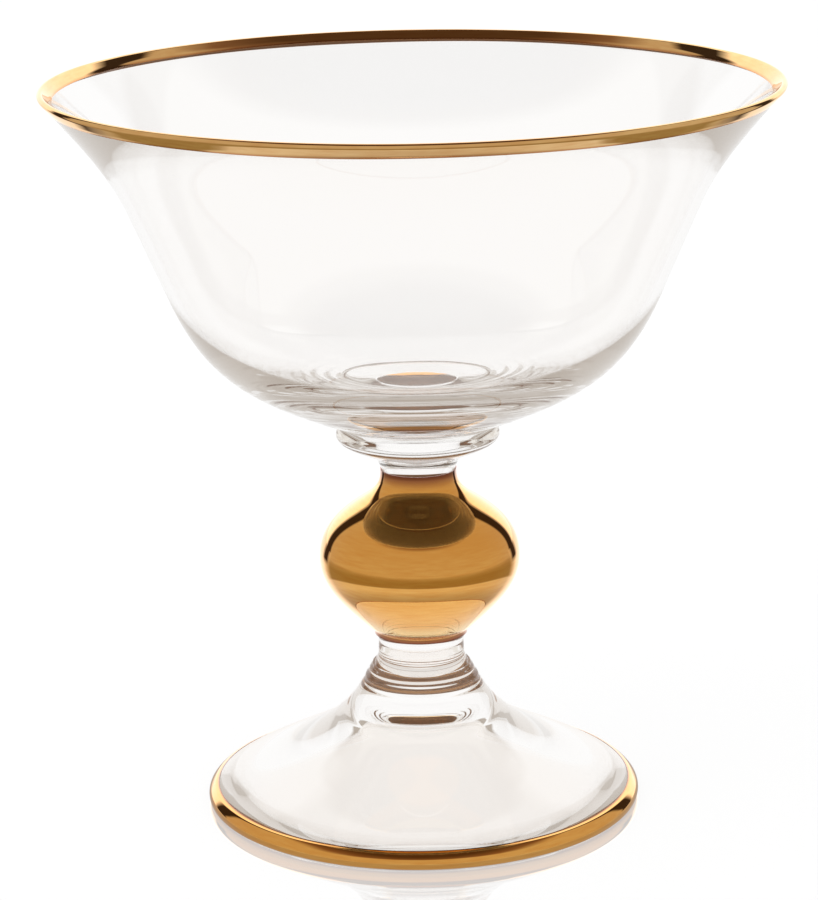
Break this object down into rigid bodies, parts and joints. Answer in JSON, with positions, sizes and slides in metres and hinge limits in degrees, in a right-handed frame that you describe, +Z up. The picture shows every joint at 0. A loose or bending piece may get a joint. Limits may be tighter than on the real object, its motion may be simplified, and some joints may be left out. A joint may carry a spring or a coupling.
{
  "type": "sherbet glass",
  "caption": "Clear footed sherbet glass with a flared bowl, a merese, a gilded knop stem, and gold bands on the lip and foot edge.",
  "frame": {"origin": "centre of the foot's resting ring, on the surface that the glass stands on", "axes": "+Z up along the axis of the stem; +X to the right and +Y away from the viewer in the picture"},
  "size_m": [0.115, 0.115, 0.1164],
  "materials": {
    "clear_glass": "fire-polished",
    "fired_gold": "bright fired gold"
  },
  "bodies": {
    "root": {"bowl": "clear_glass", "merese": "clear_glass", "upper_neck": "clear_glass", "knop": "clear_glass", "lower_neck": "clear_glass", "foot": "clear_glass", "rim_gilding": "fired_gold", "knop_gilding": "fired_gold", "foot_gilding": "fired_gold"}
  },
  "joints": []
}
